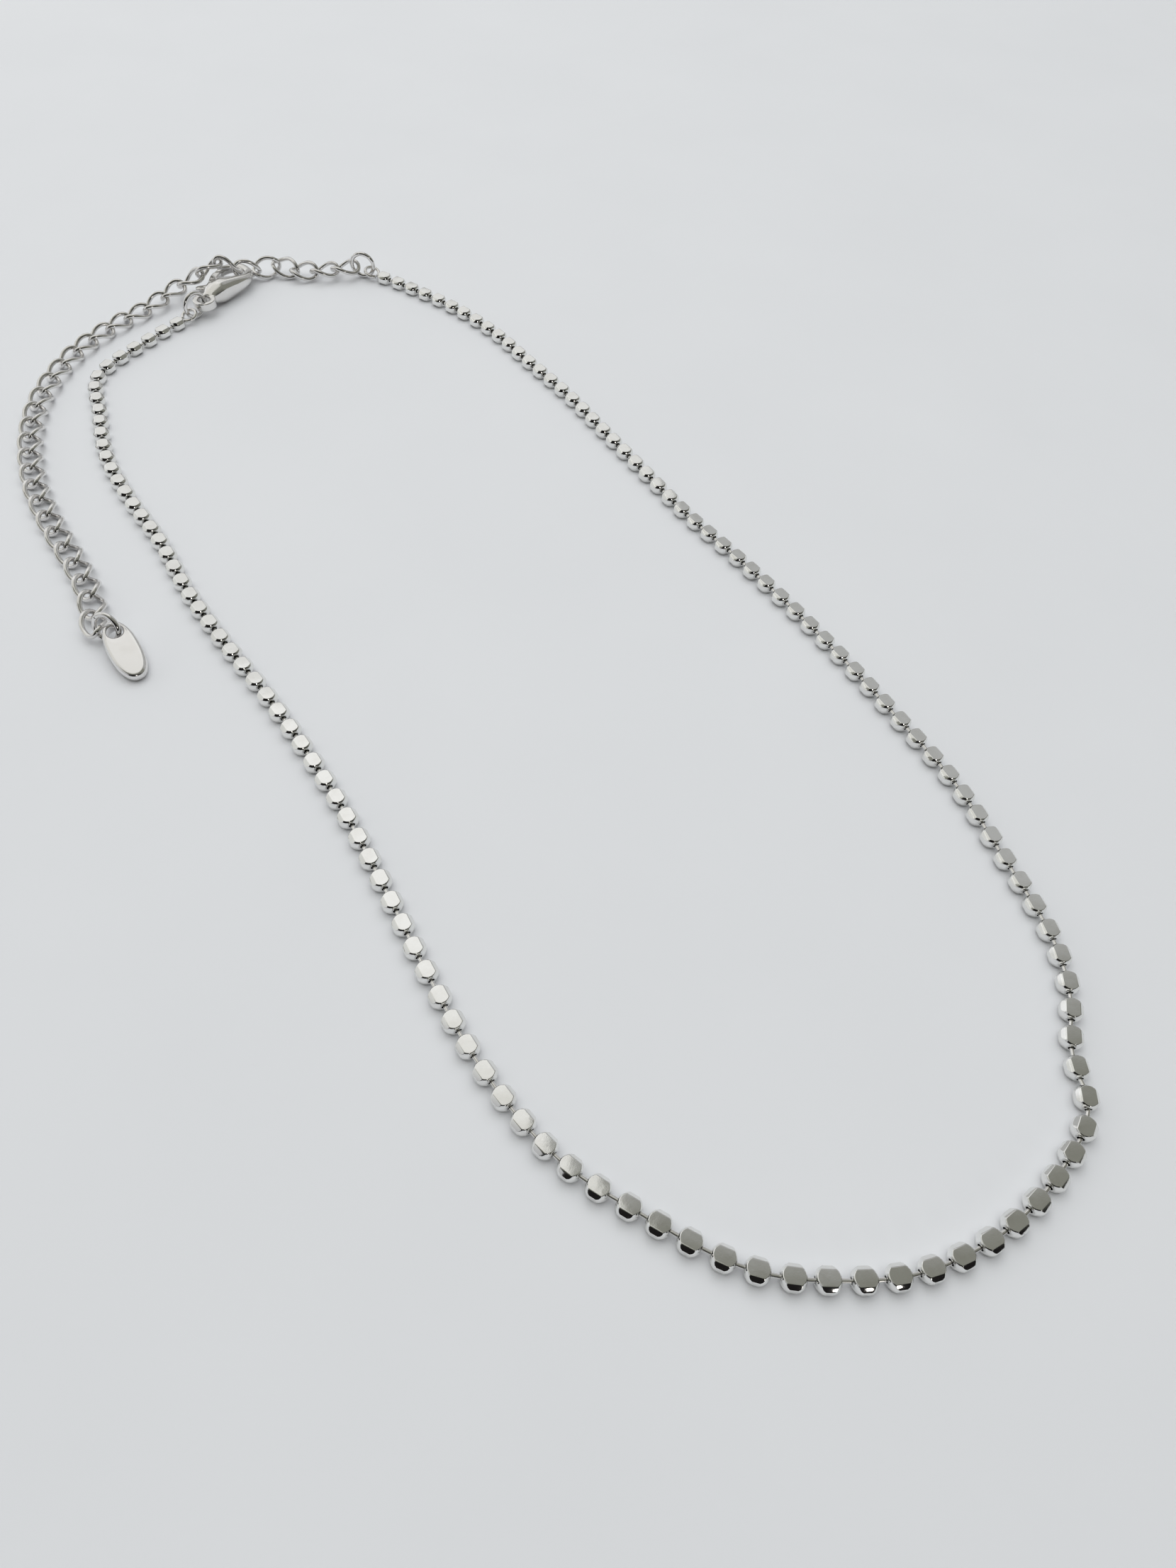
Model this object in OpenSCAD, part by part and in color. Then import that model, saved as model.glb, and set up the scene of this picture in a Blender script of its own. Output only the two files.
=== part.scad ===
// Ball chain necklace with a lobster clasp and an extender chain, laid out flat.
// Millimetres, +Z up, the table at z = 0.

/* [Ball chain] */
// diameter of the sphere that a ball is cut from
ball_d = 2.06; // [2:0.02:2.16]
// thickness of a ball between its flat top and underside
ball_t = 1.24; // [1.2:0.02:1.32]
// width of a ball across its two upright flats
ball_w = 1.88; // [1.84:0.02:1.96]
// width across the four slanting flats between them
edge_w = 1.72; // [1.68:0.02:1.78]
// length of a ball between its end faces
ball_len = 1.88; // [1.8:0.02:1.92]
// distance from one ball to the next
ball_pitch = 2.5; // [2.3:0.05:3]
// diameter of the rods between the balls
rod_d = 0.35; // [0.25:0.05:0.4]
// gap round a rod in a ball's hole
rod_gap = 0.1; // [0.1:0.01:0.15]
// outer diameter of the loop at each end of the ball chain
loop_od = 2.4; // [2.3:0.05:2.7]
// wire of the end loops
loop_wire = 0.45; // [0.35:0.05:0.5]

/* [Extender chain] */
// distance from one extender link to the next
link_pitch = 3.1; // [3:0.05:3.3]
// outer width of an extender link
link_w = 3.05; // [2.95:0.05:3.3]
// wire of the extender links
link_wire = 0.55; // [0.45:0.05:0.6]
// free play between two links
link_play = 0.2; // [0.15:0.01:0.3]
// twist between the two ends of a link, in degrees
link_twist = 90; // [80:1:95]

/* [Rings] */
// outer diameter of the two jump rings
ring_od = 3.7; // [3.6:0.05:4]
// wire of the jump rings
ring_wire = 0.55; // [0.45:0.05:0.6]
// outer diameter of the ring that holds the tag
end_ring_od = 3.5; // [3.4:0.05:3.8]
// wire of the ring that holds the tag
end_ring_wire = 0.58; // [0.5:0.02:0.6]

/* [Clasp] */
// reach of the clasp from the middle of its eye to the end of its hook
clasp_reach = 10.4; // [10:0.1:11]
// width of the clasp's housing
clasp_w = 3.2; // [3:0.1:3.6]
// thickness of the clasp's housing
clasp_t = 3; // [2.8:0.1:3.4]
// outer diameter of the clasp's eye
eye_od = 3.1; // [3:0.1:3.6]
// hole through the clasp's eye
eye_hole = 1.7; // [1.5:0.1:1.9]
// thickness of the clasp's eye
eye_t = 1.1; // [0.9:0.05:1.2]
// thickness of the lever
lever_t = 1.1; // [0.9:0.1:1.3]
// radius of the lever's hub
hub_r = 1.05; // [0.95:0.05:1.15]
// gap between the lever and the housing's slot
slot_gap = 0.1; // [0.08:0.01:0.15]
// diameter of the rivet that the lever turns on
pin_d = 0.9; // [0.7:0.1:1]
// running gap between the rivet and the lever's bore, all round
pin_gap = 0.05; // [0.03:0.01:0.08]
// how far the lever swings inwards, in degrees
lever_swing = 18; // [12:1:20]

/* [Tag] */
// length of the tag
tag_l = 7.8; // [7:0.1:9]
// width of the tag
tag_w = 3.3; // [3.1:0.1:3.8]
// thickness of the tag
tag_t = 1.1; // [0.9:0.1:1.3]
// hole through the tag
tag_hole = 1.7; // [1.6:0.1:1.9]
// distance from the tag's upper end to the middle of its hole
tag_hole_in = 1.55; // [1.4:0.05:1.8]

/* [Hidden] */
$fn = 32;

// The necklace's route over the table, from the extender's side round to the clasp, as x and y.
chain_route = [[-18.5, 65.2], [-14.5, 63], [-7, 58], [-0.5, 52], [5, 45], [10.5, 38], [15.5, 30.5],
    [20.5, 23], [25.5, 15.5], [31, 8.5], [36.5, 1], [41.5, -6.5], [46, -14], [50.5, -22], [53.5, -30],
    [56, -37.5], [56.5, -43], [55.5, -48.5], [55.5, -53.5], [52.5, -58], [47.5, -62.5], [41.5, -65.5],
    [35.5, -66.5], [28.5, -66], [20.5, -62.5], [14, -58.5], [8, -52], [3, -44.5], [-1.5, -37],
    [-6.5, -29], [-11.5, -22], [-17, -15], [-23, -8], [-28.5, -1], [-33.5, 6.5], [-39, 13.5],
    [-44, 21], [-47.5, 29.5], [-50, 37.5], [-46, 46], [-42.7, 51.2]];

// The extender's joints where it passes through the clasp, measured from the end of the hook and
// the clasp's middle plane: x, y, z and the roll in degrees of the link that follows. The clasp
// holds the fourth link.
clasp_joints = [[9.9, 0.3, -0.3, 155], [7, 0.3, -0.3, 140], [4.5, 1, 0.1, 120], [1.7, -0.5, -0.3, 85],
    [-0.4, -2.1, 0.7, 40], [-2.5, -3, 2.2, 30], [-4.9, -4.8, 1.3, 5], [-7.4, -6, 0.2, 0],
    [-9.3, -8.5, -0.3, 0]];
// The extender's route from there to its free end, as x and y.
extender_route = [[-48.8, 52.8], [-51.7, 48.8], [-54.7, 42], [-55.7, 33.1], [-54.3, 24.5],
    [-50.7, 15.5], [-46, 8.1], [-41.1, 1.7]];
// The last joints, measured from the middle of the end ring, with their height over the table.
last_joints = [[-3.6, 5.4, 0.9, -10], [-2.4, 2.6, 0.85, -5], [-1.3, -0.2, 1.2, 0]];
end_ring_at = [-34.6, -8.1];
end_ring_turn = -18;   // which way the end ring faces, in degrees
end_ring_lean = 69;    // how far it stands up, in degrees
tag_turn = -54;        // which way the tag points, in degrees
tag_tilt = 8;          // how far the tag's hole end is lifted by the ring, in degrees
clasp_ring_turn = 55;  // which way the ring at the clasp stands, in degrees
extender_ring_turn = 175;  // which way the ring at the extender stands, in degrees
clasp_turn = 72;       // which way the clasp points, in degrees

ball_end = 0.9;        // where a ball's direction is taken, as a share of its step
steps = 8;             // points on a route for each chosen one
wire_sides = 6;
loop_steps = 12;       // sections round an end loop
loop_turn = 335;       // how far an end loop goes round, in degrees
loop_rise = 18;        // how far an end loop is bent up from the table, in degrees
first_z = 1.5;         // height of the first link's end in the extender's ring
eye_slack = 0.1;       // from the clasp ring's wire to the middle of the clasp's eye
link_steps = 16;       // sections round a link
body_sides = 16;       // points round a section of the clasp
body_steps = 3;        // sections for each row of the clasp's table
tag_sides = 32;
roundness = 2.5;       // how square the clasp's sections are, 2 is an ellipse
cut_over = 1;          // how far a cut runs past a face

chain_z = ball_t / 2;
loop_r = (loop_od - loop_wire) / 2;
ring_r = (ring_od - ring_wire) / 2;
ring_z = ring_od / 2;
end_ring_r = (end_ring_od - end_ring_wire) / 2;
link_a = (link_pitch + link_wire + link_play) / 2;
link_b = (link_w - link_wire) / 2;
clasp_z = clasp_t / 2;

function heading(v) = atan2(v[1], v[0]);
function unit(v) = v / norm(v);
function dir(a) = [cos(a), sin(a)];
function spin(v, a) = [v[0] * cos(a) - v[1] * sin(a), v[0] * sin(a) + v[1] * cos(a)];
function raise(v, z) = [v[0], v[1], z];

// A smooth curve through chosen points, and a table of it by length.
function curve_point(q, k, t) = 0.5 * (2 * q[k] + (q[k + 1] - q[k - 1]) * t
    + (2 * q[k - 1] - 5 * q[k] + 4 * q[k + 1] - q[k + 2]) * t * t
    + (3 * q[k] - q[k - 1] - 3 * q[k + 1] + q[k + 2]) * t * t * t);
function curve(p, count) = let (n = len(p), q = concat([2 * p[0] - p[1]], p, [2 * p[n - 1] - p[n - 2]]))
    [for (k = [1:n - 1], i = [0:count - 1]) curve_point(q, k, i / count), p[n - 1]];
function lengths(c) = [for (i = 0, s = 0; i < len(c);
    s = s + (i < len(c) - 1 ? norm(c[i + 1] - c[i]) : 0), i = i + 1) s];
function table(c) = let (s = lengths(c))
    [for (axis = [0:len(c[0]) - 1]) [for (i = [0:len(c) - 1]) [s[i], c[i][axis]]]];
function total(tab) = tab[0][len(tab[0]) - 1][0];
function at(tab, s) = [for (axis = tab) lookup(s, axis)];

// ball chain: where each ball sits and which way it points
chain_table = table(curve(chain_route, steps));
chain_len = total(chain_table);
ball_count = round(chain_len / ball_pitch);
ball_step = chain_len / ball_count;
function ball_at(i) = at(chain_table, (i + 0.5) * ball_step);
// A ball points from the route just before it to just after it.
function ball_turn(i) = heading(at(chain_table, (i + ball_end) * ball_step)
    - at(chain_table, (i + 1 - ball_end) * ball_step));

// the loops at the chain's ends, the rings through them and the clasp's eye
start_dir = unit(chain_route[0] - chain_route[1]);
end_dir = unit(chain_route[len(chain_route) - 1] - chain_route[len(chain_route) - 2]);
start_loop = chain_route[0] + loop_r * cos(loop_rise) * start_dir;
end_loop = chain_route[len(chain_route) - 1] + loop_r * cos(loop_rise) * end_dir;
loop_z = chain_z + loop_r * sin(loop_rise);
// how far from the middle of an upright jump ring its wire crosses the height z
function ring_reach(z) = sqrt(ring_r * ring_r - (ring_z - z) * (ring_z - z));
extender_ring_at = start_loop + ring_reach(loop_z) * dir(extender_ring_turn);
clasp_ring_at = end_loop + ring_reach(loop_z) * dir(clasp_ring_turn);
eye_at = clasp_ring_at + (ring_reach(clasp_z) + eye_slack) * dir(clasp_ring_turn);
hook_at = eye_at + clasp_reach * dir(clasp_turn);

// extender: its joints in order, each with the roll of the link that follows
link_lie = link_wire / 2 + max([for (t = [0:10:350]) -link_point(link_a, t)[2]]);
near_joints = [for (j = clasp_joints) [hook_at[0] + j[0], hook_at[1] + j[1], clasp_z + j[2], j[3]]];
end_joints = [for (j = last_joints) [end_ring_at[0] + j[0], end_ring_at[1] + j[1], j[2], j[3]]];
first_joint = raise(extender_ring_at
    + (ring_reach(first_z) - ring_wire / 2 - link_play) * dir(extender_ring_turn), first_z);
function place(j) = [j[0], j[1], j[2]];
// Joints spaced evenly over a route, without the route's last point.
function spread(c) = let (tab = table(c), n = round(total(tab) / link_pitch))
    [for (i = [0:n - 1]) at(tab, i * total(tab) / n)];
first_route = [first_joint, place(near_joints[0])];
last_near = len(near_joints) - 1;
free_route = concat([place(near_joints[last_near])], [for (p = extender_route) raise(p, link_lie)],
    [place(end_joints[0])]);
first_part = [for (p = spread(curve(first_route, steps))) [p[0], p[1], p[2], 180]];
free_part = [for (p = spread(curve(free_route, steps))) [p[0], p[1], max(p[2], link_lie), 0]];
joints = concat(first_part, [for (i = [0:last_near - 1]) near_joints[i]], free_part, end_joints);

// A link's wire, twisted so that it lies flat beside its neighbours, at angle t round the link.
function link_point(a, t) = let (w = link_twist / 2 * cos(t))
    [a * cos(t), link_b * sin(t) * cos(w), link_b * sin(t) * sin(w)];
function link_section(a, t) = let (p = link_point(a, t),
    along = unit(link_point(a, t + 1) - link_point(a, t - 1)), w = link_twist / 2 * cos(t),
    side = [link_b * cos(t), a * sin(t) * cos(w), a * sin(t) * sin(w)],
    out = unit(side - (side * along) * along), up = cross(along, out))
    [for (j = [0:wire_sides - 1]) let (v = 360 * j / wire_sides)
        p + link_wire / 2 * (cos(v) * out + sin(v) * up)];

// A section of round wire at p, looking along the heading turn.
function wire_section(p, turn, d) = [for (j = [0:wire_sides - 1]) let (v = 360 * j / wire_sides)
    p + d / 2 * [-sin(turn) * cos(v), cos(turn) * cos(v), sin(v)]];
// The rod's end bent up into a loop round c, from the angle a where the rod comes in. It is run
// through outwards with way = 1 and back with way = -1.
function loop_section(c, a, v, way) = let (
    out = [cos(v) * cos(loop_rise), sin(v), -cos(v) * sin(loop_rise)],
    up = [sin(loop_rise), 0, cos(loop_rise)],
    fore = way * [-sin(v) * cos(loop_rise), cos(v), sin(v) * sin(loop_rise)],
    lean = v == 0 ? 45 * way : 0, side = cos(lean) * cross(up, fore) + sin(lean) * fore)
    [for (j = [0:wire_sides - 1]) let (w = 360 * j / wire_sides,
        q = loop_r * out + loop_wire / 2 * (cos(w) * side + sin(w) * up))
        raise(c + spin(q, a), loop_z + q[2])];
function loop_sections(c, a, way) = [for (i = way > 0 ? [0:loop_steps] : [loop_steps:-1:0])
    loop_section(c, a, i * loop_turn / loop_steps, way)];

// The clasp's sections from the housing round the hook: along and across, width and thickness,
// as shares of the reach, the housing's width, again its width, and its thickness.
clasp_rows = [[0.096, 0, 0.5, 0.47], [0.21, 0.015, 0.84, 0.78], [0.335, -0.045, 1, 1],
    [0.47, -0.265, 0.78, 0.87], [0.605, -0.5, 0.53, 0.67], [0.75, -0.595, 0.41, 0.47],
    [0.875, -0.455, 0.375, 0.4], [0.942, -0.06, 0.375, 0.4], [0.933, 0.3, 0.375, 0.4],
    [0.856, 0.58, 0.36, 0.4], [0.75, 0.69, 0.33, 0.385], [0.65, 0.69, 0.31, 0.385]];
// The lever's arm from the rivet to its end: along, across and width, as the same shares.
arm_rows = [[0.335, 0.235, 0.5], [0.442, 0.453, 0.375], [0.54, 0.61, 0.33], [0.68, 0.68, 0.3]];
// The lever's thumb piece, from its foot to its end.
thumb_rows = [[0.3, 0.4, 0.3], [0.22, 0.7, 0.28]];
pivot_share = [0.335, 0.17];
arm_end_share = 0.355;  // from the rivet to the end of the arm, as a share of the reach
pivot = [pivot_share[0] * clasp_reach, pivot_share[1] * clasp_w];
arm_end = arm_end_share * clasp_reach;
pin_in = 0.1;          // how deep the rivet's ends sit under the housing's faces
tag_levels = [[-0.5, 0.28], [-0.38, 0.1], [-0.15, 0], [0.15, 0], [0.38, 0.1], [0.5, 0.28]];
tag_square = 2.3;      // how square the tag's outline is, 2 is an ellipse
tag_hole_at = [1.05, -0.55];  // the tag's hole, measured from the middle of the end ring

function power(v, e) = sign(v) * pow(abs(v), e);
function scaled(rows) = [for (r = rows)
    [for (k = [0:len(r) - 1]) r[k] * (k == 0 ? clasp_reach : k == 3 ? clasp_t : clasp_w)]];
function along(c, i) = let (a = c[max(i - 1, 0)], b = c[min(i + 1, len(c) - 1)])
    unit([b[0] - a[0], b[1] - a[1]]);
function clasp_section(r, d) = [for (j = [0:body_sides - 1]) let (v = 360 * j / body_sides,
    side = r[2] / 2 * power(cos(v), 2 / roundness), up = r[3] / 2 * power(sin(v), 2 / roundness))
    [r[0] - d[1] * side, r[1] + d[0] * side, up]];
function edge(c, i, side, grow) = let (d = along(c, i), w = side * (c[i][2] / 2 + grow))
    [c[i][0] + d[1] * w, c[i][1] - d[0] * w];
function outline(c, grow) = concat([for (i = [0:len(c) - 1]) edge(c, i, 1, grow)],
    [for (i = [len(c) - 1:-1:0]) edge(c, i, -1, grow)]);
function tag_section(level) = let (inset = level[1] * tag_t)
    [for (j = [0:tag_sides - 1]) let (v = 360 * j / tag_sides)
    [tag_l / 2 - tag_hole_in + (tag_l / 2 - inset) * power(cos(v), 2 / tag_square),
     (tag_w / 2 - inset) * power(sin(v), 2 / tag_square), level[0] * tag_t]];

// A skin over sections that each run the same way round; a loop joins the last to the first.
module skin(sections, loop = false) {
    m = len(sections);
    n = len(sections[0]);
    sides = [for (i = [0:m - (loop ? 1 : 2)], j = [0:n - 1])
        let (a = i * n + j, b = i * n + (j + 1) % n, c = (i + 1) % m * n + (j + 1) % n,
             d = (i + 1) % m * n + j)
        each [[a, c, b], [a, d, c]]];
    ends = loop ? [] : [[for (j = [0:n - 1]) j], [for (j = [n - 1:-1:0]) (m - 1) * n + j]];
    polyhedron(points = [for (s = sections) each s], faces = concat(sides, ends));
}

module wire_ring(r, wire) {
    rotate_extrude() translate([r, 0]) circle(d = wire);
}

module ball() {
    intersection() {
        rotate([0, 90, 0]) rotate_extrude() intersection() {
            circle(d = ball_d);
            translate([rod_d / 2 + rod_gap, -ball_len / 2]) square([ball_d, ball_len]);
        }
        cube([ball_d, ball_w, ball_t], center = true);
        rotate([45, 0, 0]) cube([ball_d, edge_w, edge_w], center = true);
    }
}

module chain_balls() {
    color("silver")
    for (i = [0:ball_count - 1])
        translate(raise(ball_at(i), chain_z)) rotate([0, 0, ball_turn(i)]) ball();
}

module chain_rods() {
    rods = [for (i = [0:ball_count - 1], side = [-1, 1]) let (turn = ball_turn(i))
        wire_section(raise(ball_at(i) + side * ball_len / 2 * dir(turn), chain_z), turn, rod_d)];
    color("silver") skin(concat(loop_sections(start_loop, heading(-start_dir), -1), rods,
        loop_sections(end_loop, heading(-end_dir), 1)));
}

module jump_ring(p, turn) {
    color("silver") translate(raise(p, ring_z)) rotate([90, 0, turn]) wire_ring(ring_r, ring_wire);
}

module clasp_ring() {
    jump_ring(clasp_ring_at, clasp_ring_turn);
}

module extender_ring() {
    jump_ring(extender_ring_at, extender_ring_turn);
}

module link() {
    skin([for (i = [0:link_steps - 1]) link_section(link_a, 360 * i / link_steps)], loop = true);
}

module extender_links() {
    color("silver")
    for (i = [0:len(joints) - 2]) {
        p = place(joints[i]);
        q = place(joints[i + 1]);
        translate((p + q) / 2)
            rotate([joints[i][3], -asin((q - p)[2] / norm(q - p)), heading(q - p)]) link();
    }
}

module end_ring() {
    color("silver") translate(raise(end_ring_at, end_ring_r * sin(end_ring_lean) + end_ring_wire / 2))
        rotate([end_ring_lean, 0, end_ring_turn]) wire_ring(end_ring_r, end_ring_wire);
}

module end_tag() {
    sections = [for (level = tag_levels) tag_section(level)];
    lift = max([for (s = sections, p = s) p[0] * sin(tag_tilt) - p[2] * cos(tag_tilt)]);
    color("silver") translate(raise(end_ring_at + tag_hole_at, lift)) rotate([0, tag_tilt, tag_turn])
        difference() {
            skin([for (s = sections) [for (j = [len(s) - 1:-1:0]) s[j]]]);
            cylinder(d = tag_hole, h = tag_t + cut_over, center = true);
        }
}

module at_clasp() {
    translate(raise(eye_at, clasp_z)) rotate([0, 0, clasp_turn]) children();
}

// The lever's outline from above, swung inwards by an angle and grown by a gap.
module lever_shape(swing = 0, grow = 0) {
    thumb = scaled(thumb_rows);
    translate(pivot) rotate(-swing) translate(-pivot) {
        translate(pivot) circle(r = hub_r + grow);
        intersection() {
            polygon(outline(curve(scaled(arm_rows), body_steps), grow));
            translate(pivot) circle(r = arm_end + grow);
        }
        polygon(outline(thumb, grow));
        translate([thumb[1][0], thumb[1][1]]) circle(d = thumb[1][2] + 2 * grow);
    }
}

module clasp_body() {
    rows = curve(scaled(clasp_rows), body_steps);
    color("silver") at_clasp() difference() {
        union() {
            skin([for (i = [0:len(rows) - 1]) clasp_section(rows[i], along(rows, i))]);
            cylinder(d = eye_od, h = eye_t, center = true);
        }
        cylinder(d = eye_hole, h = clasp_t, center = true);
        linear_extrude(height = lever_t + 2 * slot_gap, center = true)
            for (swing = [0:lever_swing / 3:lever_swing]) lever_shape(swing, slot_gap);
        translate(pivot) cylinder(d = pin_d, h = clasp_t + cut_over, center = true);
        // room for the end of the lever to swing past the end of the hook
        intersection() {
            translate(pivot) cylinder(r = arm_end + slot_gap, h = clasp_t, center = true);
            translate([pivot[0] + arm_end / 2, pivot[1], -clasp_t / 2]) cube([arm_end, arm_end, clasp_t]);
        }
    }
}

module clasp_lever() {
    color("silver") at_clasp() difference() {
        linear_extrude(height = lever_t, center = true) lever_shape();
        translate(pivot) cylinder(d = pin_d + 2 * pin_gap, h = lever_t + cut_over, center = true);
    }
}

module clasp_pin() {
    color("silver") at_clasp()
        translate(pivot) cylinder(d = pin_d, h = clasp_t - 2 * pin_in, center = true);
}

chain_balls();
chain_rods();
clasp_ring();
extender_ring();
extender_links();
end_ring();
end_tag();
clasp_body();
clasp_lever();
clasp_pin();
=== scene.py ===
import math
import bpy
import numpy as np
from mathutils import Matrix, Vector


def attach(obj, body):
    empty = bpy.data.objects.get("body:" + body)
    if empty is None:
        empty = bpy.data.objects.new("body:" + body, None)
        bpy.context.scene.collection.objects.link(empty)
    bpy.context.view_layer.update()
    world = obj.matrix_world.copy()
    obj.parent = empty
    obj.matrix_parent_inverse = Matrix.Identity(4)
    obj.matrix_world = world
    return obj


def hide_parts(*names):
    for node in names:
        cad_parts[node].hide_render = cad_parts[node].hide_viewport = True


# Sizes are in millimetres and angles in degrees, except where a note gives another unit. The sizes, routes
# and joints that the solids have too are part.scad's own.
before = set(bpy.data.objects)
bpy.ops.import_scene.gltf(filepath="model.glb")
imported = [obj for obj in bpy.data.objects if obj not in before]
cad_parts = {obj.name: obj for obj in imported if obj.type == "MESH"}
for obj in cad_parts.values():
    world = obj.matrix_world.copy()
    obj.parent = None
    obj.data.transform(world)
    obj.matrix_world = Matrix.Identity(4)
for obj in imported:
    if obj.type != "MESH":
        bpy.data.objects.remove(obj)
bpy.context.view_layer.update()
mm = 0.001  # in metres


# Catmull-Rom curve through the points, count steps a span, for four points a, b, c, d in a row:
# 0.5 (2b + (c-a) t + (2a-5b+4c-d) t^2 + (3b-a-3c+d) t^3).
def curve(points, count):
    p = np.array(points, float)
    q = np.vstack([2 * p[0] - p[1], p, 2 * p[-1] - p[-2]])
    a, b, c, d = (q[k:len(q) - 3 + k, None, :] for k in range(4))
    t = (np.arange(count) / count)[None, :, None]
    square = (2 * a - 5 * b + 4 * c - d) * t ** 2
    cube = (3 * b - a - 3 * c + d) * t ** 3
    spans = 0.5 * (2 * b + (c - a) * t + square + cube)
    return np.vstack([spans.reshape(-1, p.shape[1]), p[-1]])


# Point at length s along a curve of short straight steps: each axis interpolated over the summed lengths.
def atLength(points, s):
    run = np.concatenate([[0], np.cumsum(np.linalg.norm(np.diff(points, axis=0), axis=1))])
    return np.stack([np.interp(s, run, points[:, k]) for k in range(points.shape[1])], axis=-1)


# Length of a curve: the sum of the lengths of its steps.
def curveLength(points):
    return np.linalg.norm(np.diff(points, axis=0), axis=1).sum()


# Heading of a vector in plan, in radians: atan2(y, x).
def heading(v):
    return np.arctan2(v[..., 1], v[..., 0])


# A vector over its own length.
def unit(v):
    return v / np.linalg.norm(v, axis=-1, keepdims=True)


# Direction in plan at an angle in degrees: (cos, sin).
def direction(degrees):
    return np.array([math.cos(math.radians(degrees)), math.sin(math.radians(degrees))])


# Turning matrix Rz(c) Ry(b) Rx(a) for arrays of angles in radians.
def turning(a, b, c):
    a, b, c = np.broadcast_arrays(np.asarray(a, float), np.asarray(b, float), np.asarray(c, float))
    o, i = np.zeros_like(a), np.ones_like(a)
    shape = a.shape + (3, 3)
    rx = np.stack([i, o, o, o, np.cos(a), -np.sin(a), o, np.sin(a), np.cos(a)], -1).reshape(shape)
    ry = np.stack([np.cos(b), o, np.sin(b), o, i, o, -np.sin(b), o, np.cos(b)], -1).reshape(shape)
    rz = np.stack([np.cos(c), -np.sin(c), o, np.sin(c), np.cos(c), o, o, o, i], -1).reshape(shape)
    return rz @ ry @ rx


# Quads of a grid: row k is joined to row k + 1 and column j to column j + 1. The last column is joined to the
# first, and so is the last row where closeRows says so.
def gridFaces(rows, columns, closeRows=True):
    r, c = np.meshgrid(np.arange(rows if closeRows else rows - 1), np.arange(columns), indexing="ij")
    down, over = (r + 1) % rows, (c + 1) % columns
    corners = [r * columns + c, down * columns + c, down * columns + over, r * columns + over]
    return np.stack(corners, -1).reshape(-1, 4)


# Quads of count equal grids, one after another, each quad turned over: k * rows * columns + its own corners.
def copiedFaces(rows, columns, count):
    firstPoint = np.arange(count)[:, None, None] * rows * columns
    return (gridFaces(rows, columns)[None, :, ::-1] + firstPoint).reshape(-1, 4)


# Round wire along a path: p + radius (cos w side + sin w third), where side = unit(tangent x up) and
# third = side x tangent, and the tangent is a central difference.
def tube(path, radius, sides, closed):
    if closed:
        tangent = unit(np.roll(path, -1, 0) - np.roll(path, 1, 0))
    else:
        tangent = unit(np.gradient(path, axis=0))
    side = unit(np.cross(tangent, [0.0, 0.0, 1.0]))
    third = np.cross(side, tangent)
    w = np.linspace(0, 2 * np.pi, sides, endpoint=False)[None, :, None]
    circle = np.cos(w) * side[:, None] + np.sin(w) * third[:, None]
    return path[:, None] + radius[:, None, None] * circle


# Mesh object from a grid of points and its quads. Caps are faces with more corners, and normals are one for
# each point, where a piece gives its own.
def makePiece(name, points, faces, material, replaced, caps=(), normals=None, body="necklace"):
    points = np.asarray(points, float).reshape(-1, 3) * mm
    mesh = bpy.data.meshes.new(name)
    loops = np.concatenate([faces.ravel(), *caps]).astype(np.int32)
    sizes = np.concatenate([np.full(len(faces), faces.shape[1]), [len(cap) for cap in caps]]).astype(np.int32)
    mesh.vertices.add(len(points))
    mesh.vertices.foreach_set("co", points.astype(np.float32).ravel())
    mesh.loops.add(len(loops))
    mesh.loops.foreach_set("vertex_index", loops)
    mesh.polygons.add(len(sizes))
    mesh.polygons.foreach_set("loop_start", np.concatenate([[0], np.cumsum(sizes)[:-1]]).astype(np.int32))
    mesh.update(calc_edges=True)
    mesh.validate()
    mesh.polygons.foreach_set("use_smooth", np.ones(len(sizes), dtype=bool))
    if normals is not None:
        mesh.normals_split_custom_set_from_vertices(np.asarray(normals).reshape(-1, 3))
    mesh.materials.append(material)
    piece = bpy.data.objects.new(name, mesh)
    bpy.context.scene.collection.objects.link(piece)
    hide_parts(*replaced)
    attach(piece, body)
    print(name, len(points), "points")


# A shader node at a place in the editor, with values for its named sockets.
def addNode(tree, kind, x, y, values=None):
    node = tree.nodes.new(kind)
    node.location = (x, y)
    for socket, value in (values or {}).items():
        node.inputs[socket].default_value = value
    return node


# The polish group's inputs, with what a metal gets that gives no value of its own. Scales are repeats a
# metre.
polishInputs = {"Color": (0.8, 0.8, 0.8, 1), "Tarnish Color": (0.6, 0.57, 0.53, 1), "Tarnish": 0.2,
                "Patch Scale": 300, "Roughness": 0.1, "Roughness Spread": 0.05, "Line Scale": 4000,
                "Dent Scale": 900, "Dent Share": 0.6}
polishNoise = {"patch": {"Detail": 5.0, "Roughness": 0.6}, "line": {"Detail": 3.0, "Roughness": 0.7},
               "dent": {"Detail": 2.0, "Roughness": 0.5}}
tarnishSpots = {"From Min": 0.42, "From Max": 0.75}  # where the patch noise begins and ends to be tarnish


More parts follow.
